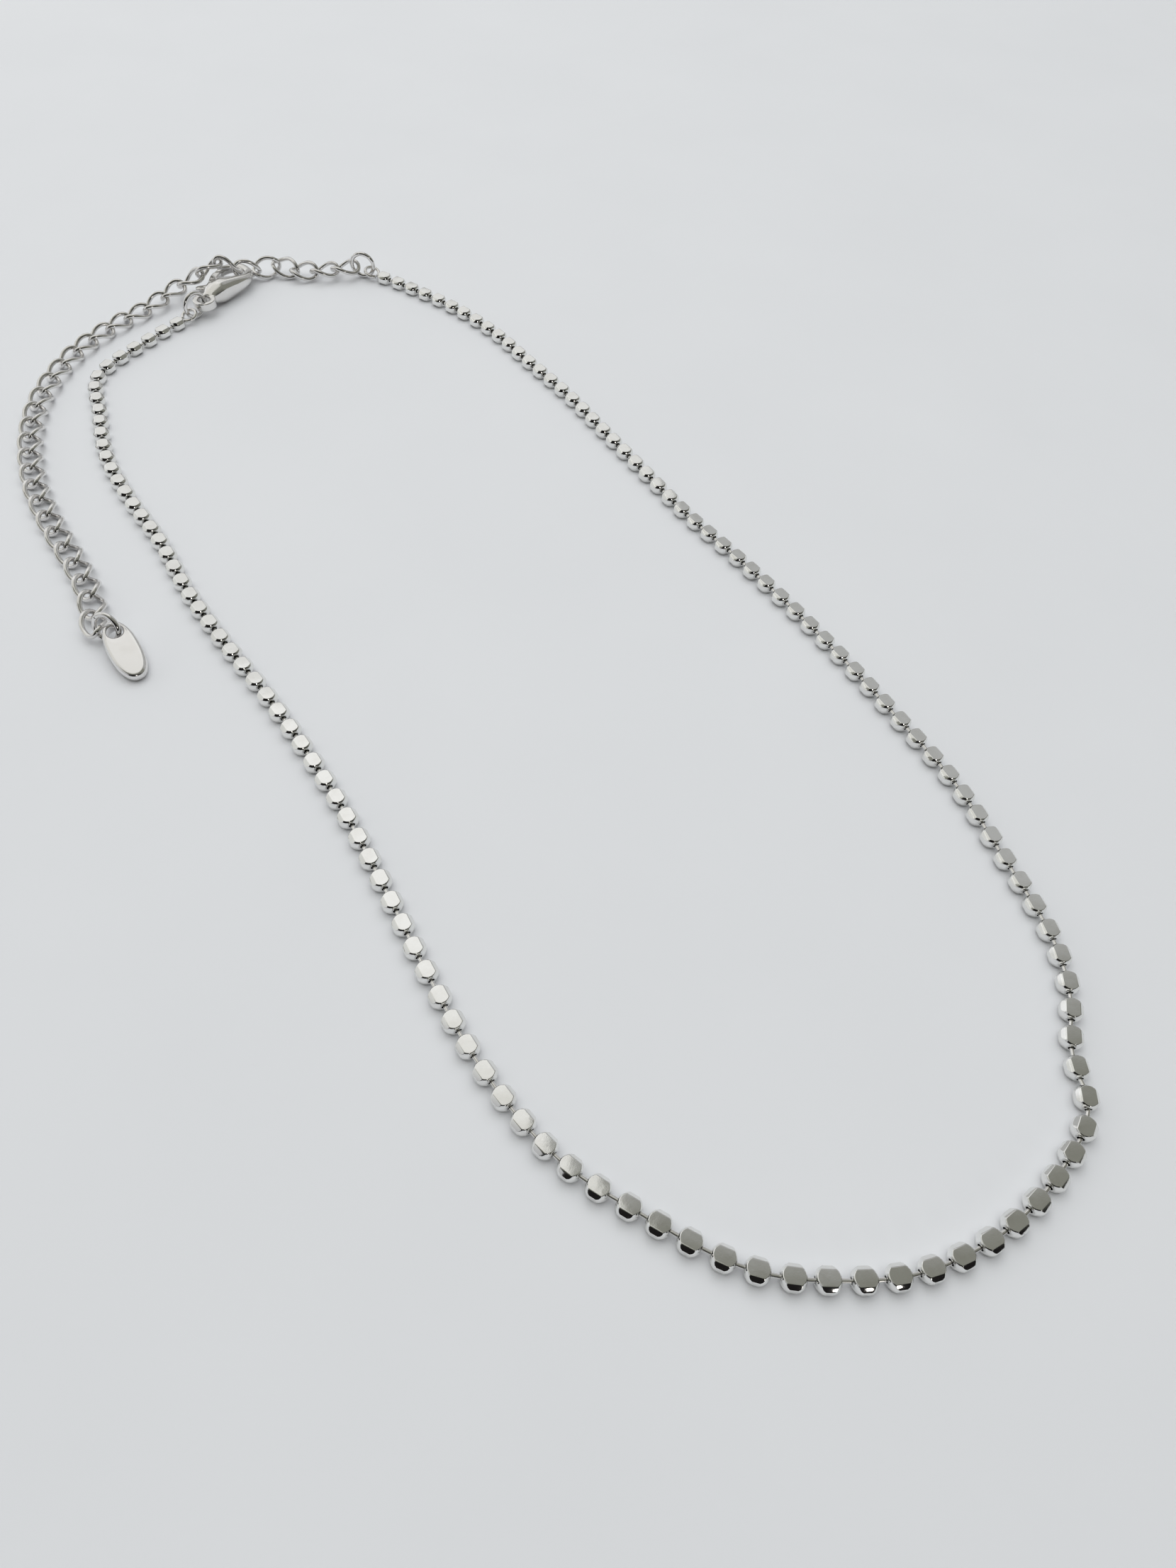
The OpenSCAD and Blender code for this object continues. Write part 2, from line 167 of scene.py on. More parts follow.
# Polish of drawn or stamped metal, from three noises on Object coordinates:
# colour = mix(Color, Tarnish Color, spots * Tarnish), roughness = Roughness + lines * Roughness Spread,
# height = mix(lines, dents, Dent Share).
def makePolishGroup():
    group = bpy.data.node_groups.new("polish", "ShaderNodeTree")
    for name, value in polishInputs.items():
        kind = "NodeSocketColor" if isinstance(value, tuple) else "NodeSocketFloat"
        socket = group.interface.new_socket(name, in_out="INPUT", socket_type=kind)
        socket.default_value = value
    group.interface.new_socket("Color", in_out="OUTPUT", socket_type="NodeSocketColor")
    group.interface.new_socket("Roughness", in_out="OUTPUT", socket_type="NodeSocketFloat")
    group.interface.new_socket("Height", in_out="OUTPUT", socket_type="NodeSocketFloat")
    links = group.links
    start = addNode(group, "NodeGroupInput", -900, 0)
    place = addNode(group, "ShaderNodeTexCoord", -900, -400)
    patch = addNode(group, "ShaderNodeTexNoise", -650, 100, polishNoise["patch"])
    lines = addNode(group, "ShaderNodeTexNoise", -650, -200, polishNoise["line"])
    dents = addNode(group, "ShaderNodeTexNoise", -650, -500, polishNoise["dent"])
    for node, scale in ((patch, "Patch Scale"), (lines, "Line Scale"), (dents, "Dent Scale")):
        links.new(place.outputs["Object"], node.inputs["Vector"])
        links.new(start.outputs[scale], node.inputs["Scale"])
    spots = addNode(group, "ShaderNodeMapRange", -430, 100, tarnishSpots)
    links.new(patch.outputs["Fac"], spots.inputs["Value"])
    amount = addNode(group, "ShaderNodeMath", -250, 60)
    amount.operation = "MULTIPLY"
    links.new(spots.outputs["Result"], amount.inputs[0])
    links.new(start.outputs["Tarnish"], amount.inputs[1])
    tone = addNode(group, "ShaderNodeMix", -60, 120)
    tone.data_type = "RGBA"
    links.new(amount.outputs[0], tone.inputs["Factor"])
    links.new(start.outputs["Color"], tone.inputs["A"])
    links.new(start.outputs["Tarnish Color"], tone.inputs["B"])
    wear = addNode(group, "ShaderNodeMath", -250, -120)
    wear.operation = "MULTIPLY_ADD"
    links.new(lines.outputs["Fac"], wear.inputs[0])
    links.new(start.outputs["Roughness Spread"], wear.inputs[1])
    links.new(start.outputs["Roughness"], wear.inputs[2])
    height = addNode(group, "ShaderNodeMix", -60, -300)
    height.data_type = "FLOAT"
    links.new(start.outputs["Dent Share"], height.inputs["Factor"])
    links.new(lines.outputs["Fac"], height.inputs["A"])
    links.new(dents.outputs["Fac"], height.inputs["B"])
    end = addNode(group, "NodeGroupOutput", 180, 0)
    links.new(tone.outputs["Result"], end.inputs["Color"])
    links.new(wear.outputs[0], end.inputs["Roughness"])
    links.new(height.outputs["Result"], end.inputs["Height"])
    return group


# Metal with the polish group's colour and roughness, and a relief of bump millimetres times its height.
def makeMetal(name, bump, values):
    material = bpy.data.materials.new(name)
    material.use_nodes = True
    tree = material.node_tree
    shader = tree.nodes["Principled BSDF"]
    shader.inputs["Metallic"].default_value = 1.0
    group = tree.nodes.new("ShaderNodeGroup")
    group.node_tree = polish
    group.location = (-500, 100)
    for socket, value in values.items():
        group.inputs[socket].default_value = value
    relief = addNode(tree, "ShaderNodeBump", -220, -200, {"Strength": 1.0, "Distance": bump * mm})
    tree.links.new(group.outputs["Height"], relief.inputs["Height"])
    tree.links.new(group.outputs["Color"], shader.inputs["Base Color"])
    tree.links.new(group.outputs["Roughness"], shader.inputs["Roughness"])
    tree.links.new(relief.outputs["Normal"], shader.inputs["Normal"])
    return material


polish = makePolishGroup()
beadMetal = makeMetal("bead_metal", bump=0.012, values={
    "Color": (0.86, 0.86, 0.845, 1), "Roughness": 0.045, "Roughness Spread": 0.06, "Tarnish": 0.25,
    "Patch Scale": 700, "Line Scale": 9000, "Dent Scale": 700, "Dent Share": 0.85})
rodMetal = makeMetal("rod_metal", bump=0.002, values={
    "Color": (0.8, 0.79, 0.77, 1), "Roughness": 0.14, "Roughness Spread": 0.08, "Tarnish": 0.3,
    "Patch Scale": 600, "Line Scale": 9000, "Dent Scale": 1500, "Dent Share": 0.4})
linkMetal = makeMetal("link_metal", bump=0.006, values={
    "Color": (0.8, 0.79, 0.78, 1), "Roughness": 0.11, "Roughness Spread": 0.09, "Tarnish": 0.35,
    "Patch Scale": 500, "Line Scale": 7000, "Dent Scale": 900, "Dent Share": 0.6})
ringMetal = makeMetal("ring_metal", bump=0.004, values={
    "Color": (0.82, 0.81, 0.8, 1), "Roughness": 0.09, "Roughness Spread": 0.07, "Tarnish": 0.3,
    "Patch Scale": 400, "Line Scale": 8000, "Dent Scale": 900, "Dent Share": 0.6})
claspMetal = makeMetal("clasp_metal", bump=0.01, values={
    "Color": (0.81, 0.8, 0.785, 1), "Roughness": 0.12, "Roughness Spread": 0.09, "Tarnish": 0.35,
    "Patch Scale": 350, "Line Scale": 6000, "Dent Scale": 650, "Dent Share": 0.7})
tagMetal = makeMetal("tag_metal", bump=0.008, values={
    "Color": (0.82, 0.81, 0.8, 1), "Roughness": 0.13, "Roughness Spread": 0.1, "Tarnish": 0.3,
    "Patch Scale": 300, "Line Scale": 7000, "Dent Scale": 450, "Dent Share": 0.75})
print("materials made")

chain = {  # the ball's own measures come first
    "sphere": 2.06, "thickness": 1.24, "width": 1.88, "slantWidth": 1.72, "length": 1.88, "bore": 0.55,
    "pitch": 2.5, "steps": 8,
    "bevel": 0.035, "rim": 0.04,
    "softCorner": 0.05, "cornerPower": 5,  # how far a flat's corners end short, and how suddenly
    "flatBulge": 0.015, "slantBulge": 0.08,  # how far the normals lean at a flat's edges, in radians
    "uprightColumns": 3, "slantColumns": 4, "levelColumns": 8, "sphereRows": (0, 0.5, 1),
    "aim": (0.1, 0.9),  # a ball points from the first to the second place in its step of the route
    "roll": 5, "looseRoll": 1.2, "looseSlide": 0.05, "seed": 7,
    "route": [
        (-18.5, 65.2), (-14.5, 63), (-7, 58), (-0.5, 52), (5, 45), (10.5, 38), (15.5, 30.5), (20.5, 23),
        (25.5, 15.5), (31, 8.5), (36.5, 1), (41.5, -6.5), (46, -14), (50.5, -22), (53.5, -30), (56, -37.5),
        (56.5, -43), (55.5, -48.5), (55.5, -53.5), (52.5, -58), (47.5, -62.5), (41.5, -65.5),
        (35.5, -66.5), (28.5, -66), (20.5, -62.5), (14, -58.5), (8, -52), (3, -44.5), (-1.5, -37),
        (-6.5, -29), (-11.5, -22), (-17, -15), (-23, -8), (-28.5, -1), (-33.5, 6.5), (-39, 13.5),
        (-44, 21), (-47.5, 29.5), (-50, 37.5), (-46, 46), (-42.7, 51.2)]}
curvePoints = curve(chain["route"], chain["steps"])
chainLength = curveLength(curvePoints)
ballCount = round(chainLength / chain["pitch"])
ballStep = chainLength / ballCount
ballHalf = chain["thickness"] / 2


# The ball's eight flats in order round its length: the angle that a flat faces, the middle and half the range
# of its own angles, its distance, bulge and columns. An upright flat meets the slanting one at the angle
# low, and that one meets the level one at the angle high.
def ballFlats():
    side, slant, quarter = chain["width"] / 2, chain["slantWidth"] / 2, math.pi / 2
    low = math.atan2(slant * math.sqrt(2) - side, side)
    high = math.atan2(ballHalf, slant * math.sqrt(2) - ballHalf)
    middle, reach = (low + high) / 2, (high - low) / 2
    upright = (side, chain["flatBulge"], chain["uprightColumns"])
    slanting = (slant, chain["slantBulge"], chain["slantColumns"])
    level = (ballHalf, chain["flatBulge"], chain["levelColumns"])
    flats = []
    for turned in (0, 2):
        near, top, far = turned * quarter, (turned + 1) * quarter, (turned + 2) * quarter
        flats += [(near, near, low, *upright), (near + quarter / 2, near + middle, reach, *slanting),
                  (top, top, quarter - high, *level), (top + quarter / 2, far - middle, reach, *slanting)]
    return np.array(flats)


# One ball: a sphere of radius R cut by eight flats along x, with flat drilled ends. A flat that faces the
# angle m at the distance d has the section radius r(v) = d / cos(v - m), and ends at x = sqrt(R^2 - r^2).
# Rows run from one end's bore over the sphere and the flats to the other. No point lies on an edge, so each
# edge is a narrow strip that turns from one normal to the next, and the flats' normals lean a little
# outwards, as pressed metal bulges.
def ballGrid():
    sphere, end, bore = chain["sphere"] / 2, chain["length"] / 2, chain["bore"] / 2
    bevel, rim = chain["bevel"], chain["rim"]
    flats = ballFlats()
    columns = flats[:, 5].astype(int)
    facing, middle, reach, away, bulge = np.repeat(flats[:, :5], columns, axis=0).T
    across = np.concatenate([np.sin(np.linspace(-math.pi / 2, math.pi / 2, count)) for count in columns])
    v = middle + across * (reach - bevel / away)
    r = away / np.cos(v - facing)
    corner = chain["softCorner"] * np.abs(across) ** chain["cornerPower"]
    flatEnd = np.sqrt(sphere ** 2 - r ** 2) - bevel - corner
    alongX, none = np.array([1.0, 0, 0]), 0 * v
    out = np.stack([none, np.cos(v), np.sin(v)], -1)
    leaning = facing + bulge * across
    flatNormal = np.stack([none, np.cos(leaning), np.sin(leaning)], -1)
    rows = [(flatEnd, r, flatNormal + bulge[:, None] * alongX)]
    for share in chain["sphereRows"]:
        x = flatEnd + 2 * bevel + (end - bevel - flatEnd - 2 * bevel) * share
        x = np.minimum(x, end - bevel / 2)
        around = np.sqrt(sphere ** 2 - x ** 2)
        rows.append((x, around, x[:, None] * alongX + around[:, None] * out))
    face = math.sqrt(sphere ** 2 - end ** 2) - bevel
    rows += [(end + none, face + none, alongX + 0 * out), (end + none, bore + rim + none, alongX + 0 * out),
             (end - rim + none, bore + none, -out)]
    both = [(x, around, unit(n)) for x, around, n in rows]
    both += [(-x, around, unit(n) * [-1.0, 1, 1]) for x, around, n in rows[::-1]]
    x, around, normals = (np.array(values) for values in zip(*both))
    return np.stack([x, around * np.cos(v), around * np.sin(v)], -1), normals


# Balls at even steps along the route, each a little loose on its rod. They roll by
# u = roll * max(0, -cos turn) + chance * looseRoll, and rest on the lower corner, with their middles
# ballHalf * cos u + corner * |sin u| high.
def makeChain():
    rng = np.random.default_rng(chain["seed"])
    loose = rng.uniform(-1, 1, (2, ballCount))
    index = np.arange(ballCount)
    place = atLength(curvePoints, (index + 0.5) * ballStep + loose[0] * chain["looseSlide"])
    behind, ahead = (atLength(curvePoints, (index + share) * ballStep) for share in chain["aim"])
    turn = heading(ahead - behind)
    roll = np.radians(chain["roll"] * np.maximum(0, -np.cos(turn)) + loose[1] * chain["looseRoll"])
    corner = chain["slantWidth"] / math.sqrt(2) - ballHalf
    centre = np.column_stack([place, ballHalf * np.cos(roll) + corner * np.abs(np.sin(roll))])
    points, normals = ballGrid()
    spin = turning(roll, 0 * roll, turn)
    allPoints = np.einsum("bij,rcj->brci", spin, points) + centre[:, None, None]
    allNormals = np.einsum("bij,rcj->brci", spin, normals)
    faces = copiedFaces(*points.shape[:2], ballCount)
    makePiece("ball_chain", allPoints, faces, beadMetal, ["chain_balls"], normals=allNormals)
    return centre, turn


rods = {"wire": 0.35, "loopOuter": 2.4, "loopWire": 0.45, "loopTurn": 335, "loopRise": 18, "sections": 40,
        "sides": 14}
loopRadius = (rods["loopOuter"] - rods["loopWire"]) / 2
loopRise = math.radians(rods["loopRise"])
loopHeight = ballHalf + loopRadius * math.sin(loopRise)
loopWays = unit(curvePoints[[0, -1]] - np.array([chain["route"][1], chain["route"][-2]], float))
loopMiddles = curvePoints[[0, -1]] + loopRadius * math.cos(loopRise) * loopWays


# The wire through the balls, with a loop of heavier wire at each end:
# c + R(angle) * (r cos v cos rise, r sin v, -r cos v sin rise), from the side where the wire comes in.
def makeRods(centre, turn):
    reach = chain["length"] / 2
    along = np.column_stack([np.cos(turn), np.sin(turn), 0 * turn])
    ends = np.stack([centre - reach * along, centre + reach * along], 1).reshape(-1, 3)
    v = np.radians(np.linspace(0, rods["loopTurn"], rods["sections"]))
    flat = loopRadius * np.cos(v)
    loop = np.column_stack([flat * math.cos(loopRise), loopRadius * np.sin(v), -flat * math.sin(loopRise)])
    first, last = (loop @ turning(0, 0, heading(-way)).T + [*middle, loopHeight]
                   for way, middle in zip(loopWays, loopMiddles))
    path = np.vstack([first[::-1], ends, last])
    loopRadii = np.full(len(v), rods["loopWire"] / 2)
    radii = np.concatenate([loopRadii, np.full(len(ends), rods["wire"] / 2), loopRadii])
    sides = rods["sides"]
    grid = tube(path, radii, sides, closed=False)
    faces = gridFaces(len(path), sides, closeRows=False)
    caps = [np.arange(sides), (len(path) - 1) * sides + np.arange(sides)[::-1]]
    makePiece("rods_and_loops", grid, faces, rodMetal, ["chain_rods"], caps)


makeRods(*makeChain())
print("ball chain made:", ballCount, "balls")

clasp = {"reach": 10.4, "thickness": 3.0, "turn": 72, "eyeSlack": 0.1}
rings = {"clasp_ring": {"outer": 3.7, "wire": 0.55, "turn": 55, "lean": 90, "seamAt": 100},
         "extender_ring": {"outer": 3.7, "wire": 0.55, "turn": 175, "lean": 90, "seamAt": 80},
         "end_ring": {"outer": 3.5, "wire": 0.58, "turn": -18, "lean": 69, "seamAt": 140,
                      "at": (-34.6, -8.1)}}
# The seam: how far its steps are apart, how much thinner the wire is there, where its sections are, counted
# in steps from it, within how many steps there are no others, and within how many the wire is thin.
ringWire = {"sections": 72, "sides": 20, "seam": 0.05, "seamDepth": 0.14,
            "seamSteps": (-2, -1, -0.35, 0.35, 1, 2), "seamClear": 3, "seamHalf": 0.5}


# Radius of a ring's centre line: (outer - wire) / 2.
def ringRadius(name):
    return (rings[name]["outer"] - rings[name]["wire"]) / 2


# Where an upright ring's wire crosses the height z, measured from its middle: sqrt(r^2 - (h - z)^2).
def ringReach(name, z):
    return math.sqrt(ringRadius(name) ** 2 - (rings[name]["outer"] / 2 - z) ** 2)


claspWay, farWay = direction(rings["clasp_ring"]["turn"]), direction(rings["extender_ring"]["turn"])
farRingAt = loopMiddles[0] + ringReach("extender_ring", loopHeight) * farWay
claspRingAt = loopMiddles[1] + ringReach("clasp_ring", loopHeight) * claspWay
eyeAt = claspRingAt + (ringReach("clasp_ring", clasp["thickness"] / 2) + clasp["eyeSlack"]) * claspWay
hookAt = eyeAt + clasp["reach"] * direction(clasp["turn"])


# Angle from a ring's seam, from -pi to pi: (v - seam + pi) mod 2 pi - pi.
def fromSeam(v, seam):
    return (v - seam + np.pi) % (2 * np.pi) - np.pi


# A wire ring on the table: a circle of radius r leant over and turned, with its middle r sin lean + wire / 2
# high. Its wire is thinner at one place, where its two ends meet.
def makeRing(name, at):
    ring, r = rings[name], ringRadius(name)
    step, seam, lean = ringWire["seam"] / r, math.radians(ring["seamAt"]), math.radians(ring["lean"])
    even = np.linspace(0, 2 * np.pi, ringWire["sections"], endpoint=False)
    clear = even[np.abs(fromSeam(even, seam)) > ringWire["seamClear"] * step]
    v = np.sort(np.concatenate([clear, seam + step * np.array(ringWire["seamSteps"])]))
    thin = np.abs(fromSeam(v, seam)) < ringWire["seamHalf"] * step
    radius = ring["wire"] / 2 * (1 - ringWire["seamDepth"] * thin)
    path = np.column_stack([r * np.cos(v), r * np.sin(v), 0 * v])
    middle = [*at, r * math.sin(lean) + ring["wire"] / 2]
    spin = turning(lean, 0, math.radians(ring["turn"]))
    grid = tube(path, radius, ringWire["sides"], closed=True) @ spin.T + middle
    makePiece(name + "_wire", grid, gridFaces(len(path), ringWire["sides"]), ringMetal, [name])


makeRing("clasp_ring", claspRingAt)
makeRing("extender_ring", farRingAt)
makeRing("end_ring", rings["end_ring"]["at"])
print("rings made")

# A joint is (x, y, z, roll of the next link), from the hook in claspJoints and from the end ring in
# lastJoints.
extender = {
    "pitch": 3.1, "width": 3.05, "wire": 0.55, "play": 0.2, "twist": 90, "sections": 32, "sides": 12,
    "firstHeight": 1.5, "firstRoll": 180, "lieStep": 10,
    "claspJoints": [(9.9, 0.3, -0.3, 155), (7, 0.3, -0.3, 140), (4.5, 1, 0.1, 120), (1.7, -0.5, -0.3, 85),
                    (-0.4, -2.1, 0.7, 40), (-2.5, -3, 2.2, 30), (-4.9, -4.8, 1.3, 5), (-7.4, -6, 0.2, 0),
                    (-9.3, -8.5, -0.3, 0)],
    "route": [(-48.8, 52.8), (-51.7, 48.8), (-54.7, 42), (-55.7, 33.1), (-54.3, 24.5), (-50.7, 15.5),
              (-46, 8.1), (-41.1, 1.7)],
    "lastJoints": [(-3.6, 5.4, 0.9, -10), (-2.4, 2.6, 0.85, -5), (-1.3, -0.2, 1.2, 0)]}
linkLong = (extender["pitch"] + extender["wire"] + extender["play"]) / 2
linkWide = (extender["width"] - extender["wire"]) / 2


# Twist of a link's wire about its length at the angle t round the link: w = twist / 2 * cos t.
def linkTwist(t):
    return math.radians(extender["twist"] / 2) * np.cos(t)


# Centre line of a twisted link: (a cos t, b sin t cos w, b sin t sin w).
def linkPath(t):
    w, wide = linkTwist(t), linkWide * np.sin(t)
    return np.stack([linkLong * np.cos(t), wide * np.cos(w), wide * np.sin(w)], -1)


# Round wire carried along a link's centre line: p + radius (cos v out + sin v up). Out is the ellipse's
# outward normal, (b cos t, a sin t cos w, a sin t sin w), less its share along the tangent, and
# up = tangent x out.
def linkGrid():
    t = np.linspace(0, 2 * np.pi, extender["sections"], endpoint=False)
    little = 0.01
    tangent = unit(linkPath(t + little) - linkPath(t - little))
    w, long = linkTwist(t), linkLong * np.sin(t)
    sideways = np.stack([linkWide * np.cos(t), long * np.cos(w), long * np.sin(w)], -1)
    out = unit(sideways - np.sum(sideways * tangent, -1, keepdims=True) * tangent)
    up = np.cross(tangent, out)
    v = np.linspace(0, 2 * np.pi, extender["sides"], endpoint=False)[None, :, None]
    circle = np.cos(v) * out[:, None] + np.sin(v) * up[:, None]
    return linkPath(t)[:, None] + extender["wire"] / 2 * circle


# Joints spaced evenly over a route, without the route's last point.
def spread(points):
    count = round(curveLength(points) / extender["pitch"])
    return atLength(points, np.arange(count) * curveLength(points) / count)


# All joints in order: from the far ring to the clasp, over the hook, along the table and down to the tag. A
# link that lies on the table has its middle wire / 2 + the depth of its centre line high.
def extenderJoints():
    around = np.radians(np.arange(0, 360, extender["lieStep"]))
    lie = extender["wire"] / 2 + np.max(-linkPath(around)[:, 2])
    near = np.array(extender["claspJoints"], float) + [*hookAt, clasp["thickness"] / 2, 0]
    last = np.array(extender["lastJoints"], float) + [*rings["end_ring"]["at"], 0, 0]
    height = extender["firstHeight"]
    inside = ringReach("extender_ring", height) - rings["extender_ring"]["wire"] / 2 - extender["play"]
    first = np.array([*(farRingAt + inside * farWay), height])
    firstPart = spread(curve([first, near[0, :3]], chain["steps"]))
    route = [near[-1, :3], *[(x, y, lie) for x, y in extender["route"]], last[0, :3]]
    freePart = spread(curve(route, chain["steps"]))
    freePart[:, 2] = np.maximum(freePart[:, 2], lie)
    firstRolls, freeRolls = np.full(len(firstPart), extender["firstRoll"]), np.zeros(len(freePart))
    return np.vstack([np.column_stack([firstPart, firstRolls]), near[:-1],
                      np.column_stack([freePart, freeRolls]), last])


# One link from each joint p to the next, q: its middle is (p + q) / 2, and it is rolled about their line.
def makeExtender():
    joints = extenderJoints()
    p, q = joints[:-1, :3], joints[1:, :3]
    step = q - p
    rise = -np.arcsin(step[:, 2] / np.linalg.norm(step, axis=1))
    spin = turning(np.radians(joints[:-1, 3]), rise, heading(step))
    link = linkGrid()
    points = np.einsum("lij,rcj->lrci", spin, link) + ((p + q) / 2)[:, None, None]
    faces = copiedFaces(*link.shape[:2], len(step))
    makePiece("extender_chain", points, faces, linkMetal, ["extender_links"])
    print("extender chain made:", len(step), "links")


makeExtender()

tag = {"length": 7.8, "width": 3.3, "thickness": 1.1, "hole": 1.7, "holeIn": 1.55, "holeAt": (1.05, -0.55),
       "turn": -54, "tilt": 8, "square": 2.3, "around": 96,
       "edgeDepth": 0.34, "edgeAngles": (0, 20, 40, 58, 74, 86),  # the round edge; depth in thicknesses
       "faceStart": 0.4, "faceShares": (0, 0.3, 0.6, 0.85, 1),  # rows from the edge to the hole
       "holeRim": ((0.16, 0.5), (0.07, 0.485), (0.02, 0.46), (0, 0.4))}  # growth, height in thicknesses


# Rows of (inset from the outline, height) round the outer edge, and (radius growth, height) round the hole;
# the outline is (l/2 cos|cos|^(2/n-1), w/2 sin|sin|^(2/n-1)), and the faces run straight between the two.
def makeTag():
    t, top = tag["thickness"], 0.5 * tag["thickness"]
    v = np.linspace(0, 2 * np.pi, tag["around"], endpoint=False)
    power = 2 / tag["square"]
    cosine = np.sign(np.cos(v)) * np.abs(np.cos(v)) ** power
    sine = np.sign(np.sin(v)) * np.abs(np.sin(v)) ** power
    shift = tag["length"] / 2 - tag["holeIn"]

    def outer(inset, z):
        x, y = (tag["length"] / 2 - inset) * cosine, (tag["width"] / 2 - inset) * sine
        return np.stack([shift + x, y, z + 0 * v], -1)

    def inner(grow, z):
        r = tag["hole"] / 2 + grow
        return np.stack([r * np.cos(v), r * np.sin(v), z + 0 * v], -1)

    edge = [outer(tag["edgeDepth"] * t * (1 - math.cos(a)), top * math.sin(a))
            for a in np.radians(tag["edgeAngles"])]
    holeTop, *holeWall = [inner(grow, height * t) for grow, height in tag["holeRim"]]
    rimTop = outer(tag["faceStart"] * t, top)
    upper = edge + [rimTop + (holeTop - rimTop) * share for share in tag["faceShares"]] + holeWall
    rows = np.array(upper + [row * [1, 1, -1] for row in upper[:0:-1]])
    tilt = math.radians(tag["tilt"])
    lift = np.max(rows[..., 0] * math.sin(tilt) - rows[..., 2] * math.cos(tilt))
    at = np.array([*(np.array(rings["end_ring"]["at"]) + tag["holeAt"]), lift])
    grid = rows @ turning(0, tilt, math.radians(tag["turn"])).T + at
    makePiece("tag_drop", grid, gridFaces(len(rows), len(v))[:, ::-1], tagMetal, ["end_tag"])


makeTag()

claspFinish = {"weld": 0.001, "voxel": 0.1, "smoothTimes": 4, "smoothFactor": 0.5}
claspMetals = {"clasp_body": claspMetal, "clasp_lever": claspMetal, "clasp_pin": ringMetal}


# The clasp keeps its solids. The body and the lever get the soft edges of a cast and tumbled part.
def finishClasp():
    for name in ("clasp_body", "clasp_lever"):
        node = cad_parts[name]
        weld = node.modifiers.new("weld", "WELD")
        weld.merge_threshold = claspFinish["weld"] * mm
        remesh = node.modifiers.new("rounded", "REMESH")
        remesh.mode = "VOXEL"
        remesh.voxel_size = claspFinish["voxel"] * mm
        remesh.use_smooth_shade = True
        smooth = node.modifiers.new("tumbled", "SMOOTH")
        smooth.iterations = claspFinish["smoothTimes"]
        smooth.factor = claspFinish["smoothFactor"]
    for name, material in claspMetals.items():
        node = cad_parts[name]
        node.data.materials.clear()
        node.data.materials.append(material)
    print("clasp finished")


finishClasp()

floorLook = {"half": 2.0, "below": 0.00002,  # both in metres
             "A": (0.81, 0.82, 0.85, 1), "B": (0.85, 0.86, 0.89, 1),
             "roughness": 0.6, "noise": {"Scale": 40.0, "Detail": 4.0}}


# A square a hair below the table's height, painted from A to B with a broad noise.
def makeFloor():
    mesh = bpy.data.meshes.new("floor")
    corners = np.array([(-1, -1), (1, -1), (1, 1), (-1, 1)]) * floorLook["half"]
    mesh.from_pydata([(x, y, -floorLook["below"]) for x, y in corners.tolist()], [], [(0, 1, 2, 3)])
    material = bpy.data.materials.new("floor_paint")
    material.use_nodes = True
    tree = material.node_tree
    shader = tree.nodes["Principled BSDF"]
    shader.inputs["Roughness"].default_value = floorLook["roughness"]
    place = addNode(tree, "ShaderNodeTexCoord", -700, 0)
    noise = addNode(tree, "ShaderNodeTexNoise", -500, 0, floorLook["noise"])
    tone = addNode(tree, "ShaderNodeMix", -250, 0)
    tone.data_type = "RGBA"
    for socket in ("A", "B"):
        tone.inputs[socket].default_value = floorLook[socket]
    tree.links.new(place.outputs["Object"], noise.inputs["Vector"])
    tree.links.new(noise.outputs["Fac"], tone.inputs["Factor"])
    tree.links.new(tone.outputs["Result"], shader.inputs["Base Color"])
    mesh.materials.append(material)
    floor = bpy.data.objects.new("floor", mesh)
    bpy.context.scene.collection.objects.link(floor)


# Places and sizes in metres. The ceiling in two halves and the side window are what the ball tops mirror, the
# lamp gives the glints on the near bend, and the fill brightens the floor without showing in the metal.
softboxes = {
    "near_ceiling": {"at": (-0.45, 0.26, 0.62), "towards": (-0.45, 0.26, 0), "width": 1.06, "height": 0.64,
                     "brightness": 0.52, "color": (1, 0.99, 0.97), "inMetal": True},
    "far_ceiling": {"at": (-0.45, 0.94, 0.62), "towards": (-0.45, 0.94, 0), "width": 1.06, "height": 0.72,
                    "brightness": 0.36, "color": (1, 0.99, 0.97), "inMetal": True},
    "side_window": {"at": (-0.95, 0.1, 0.33), "towards": (0, 0.1, 0.33), "width": 2.1, "height": 0.6,
                    "brightness": 0.5, "color": (0.97, 0.98, 1), "inMetal": True},
    "room_lamp": {"at": (0.36, -0.85, 0.3), "towards": (0, 0, 0), "width": 0.12, "height": 0.12,
                  "brightness": 8, "color": (1, 0.97, 0.92), "inMetal": True},
    "soft_fill": {"at": (0.1, 0.2, 0.9), "towards": (0, 0, 0), "width": 1.4, "height": 1.4,
                  "brightness": 1.06, "color": (0.96, 0.98, 1), "inMetal": False}}


# A rectangular light of even brightness: its power is brightness * pi * area.
def addSoftbox(name, box):
    light = bpy.data.lights.new(name, "AREA")
    light.shape = "RECTANGLE"
    light.size, light.size_y = box["width"], box["height"]
    light.energy = box["brightness"] * math.pi * box["width"] * box["height"]
    light.color = box["color"]
    lamp = bpy.data.objects.new(name, light)
    lamp.location = box["at"]
    lamp.rotation_euler = (Vector(box["towards"]) - Vector(box["at"])).to_track_quat("-Z", "Y").to_euler()
    lamp.visible_camera = False
    lamp.visible_glossy = box["inMetal"]
    bpy.context.scene.collection.objects.link(lamp)


room = {"behind": (0.012, 0.011, 0.011, 1), "nearWall": (0.23, 0.232, 0.203, 1),
        "farWall": (0.45, 0.455, 0.45, 1), "upShare": 0.6, "rise": {"From Min": -0.45, "From Max": 0.15},
        "far": {"From Min": 0.33, "From Max": 0.5}}


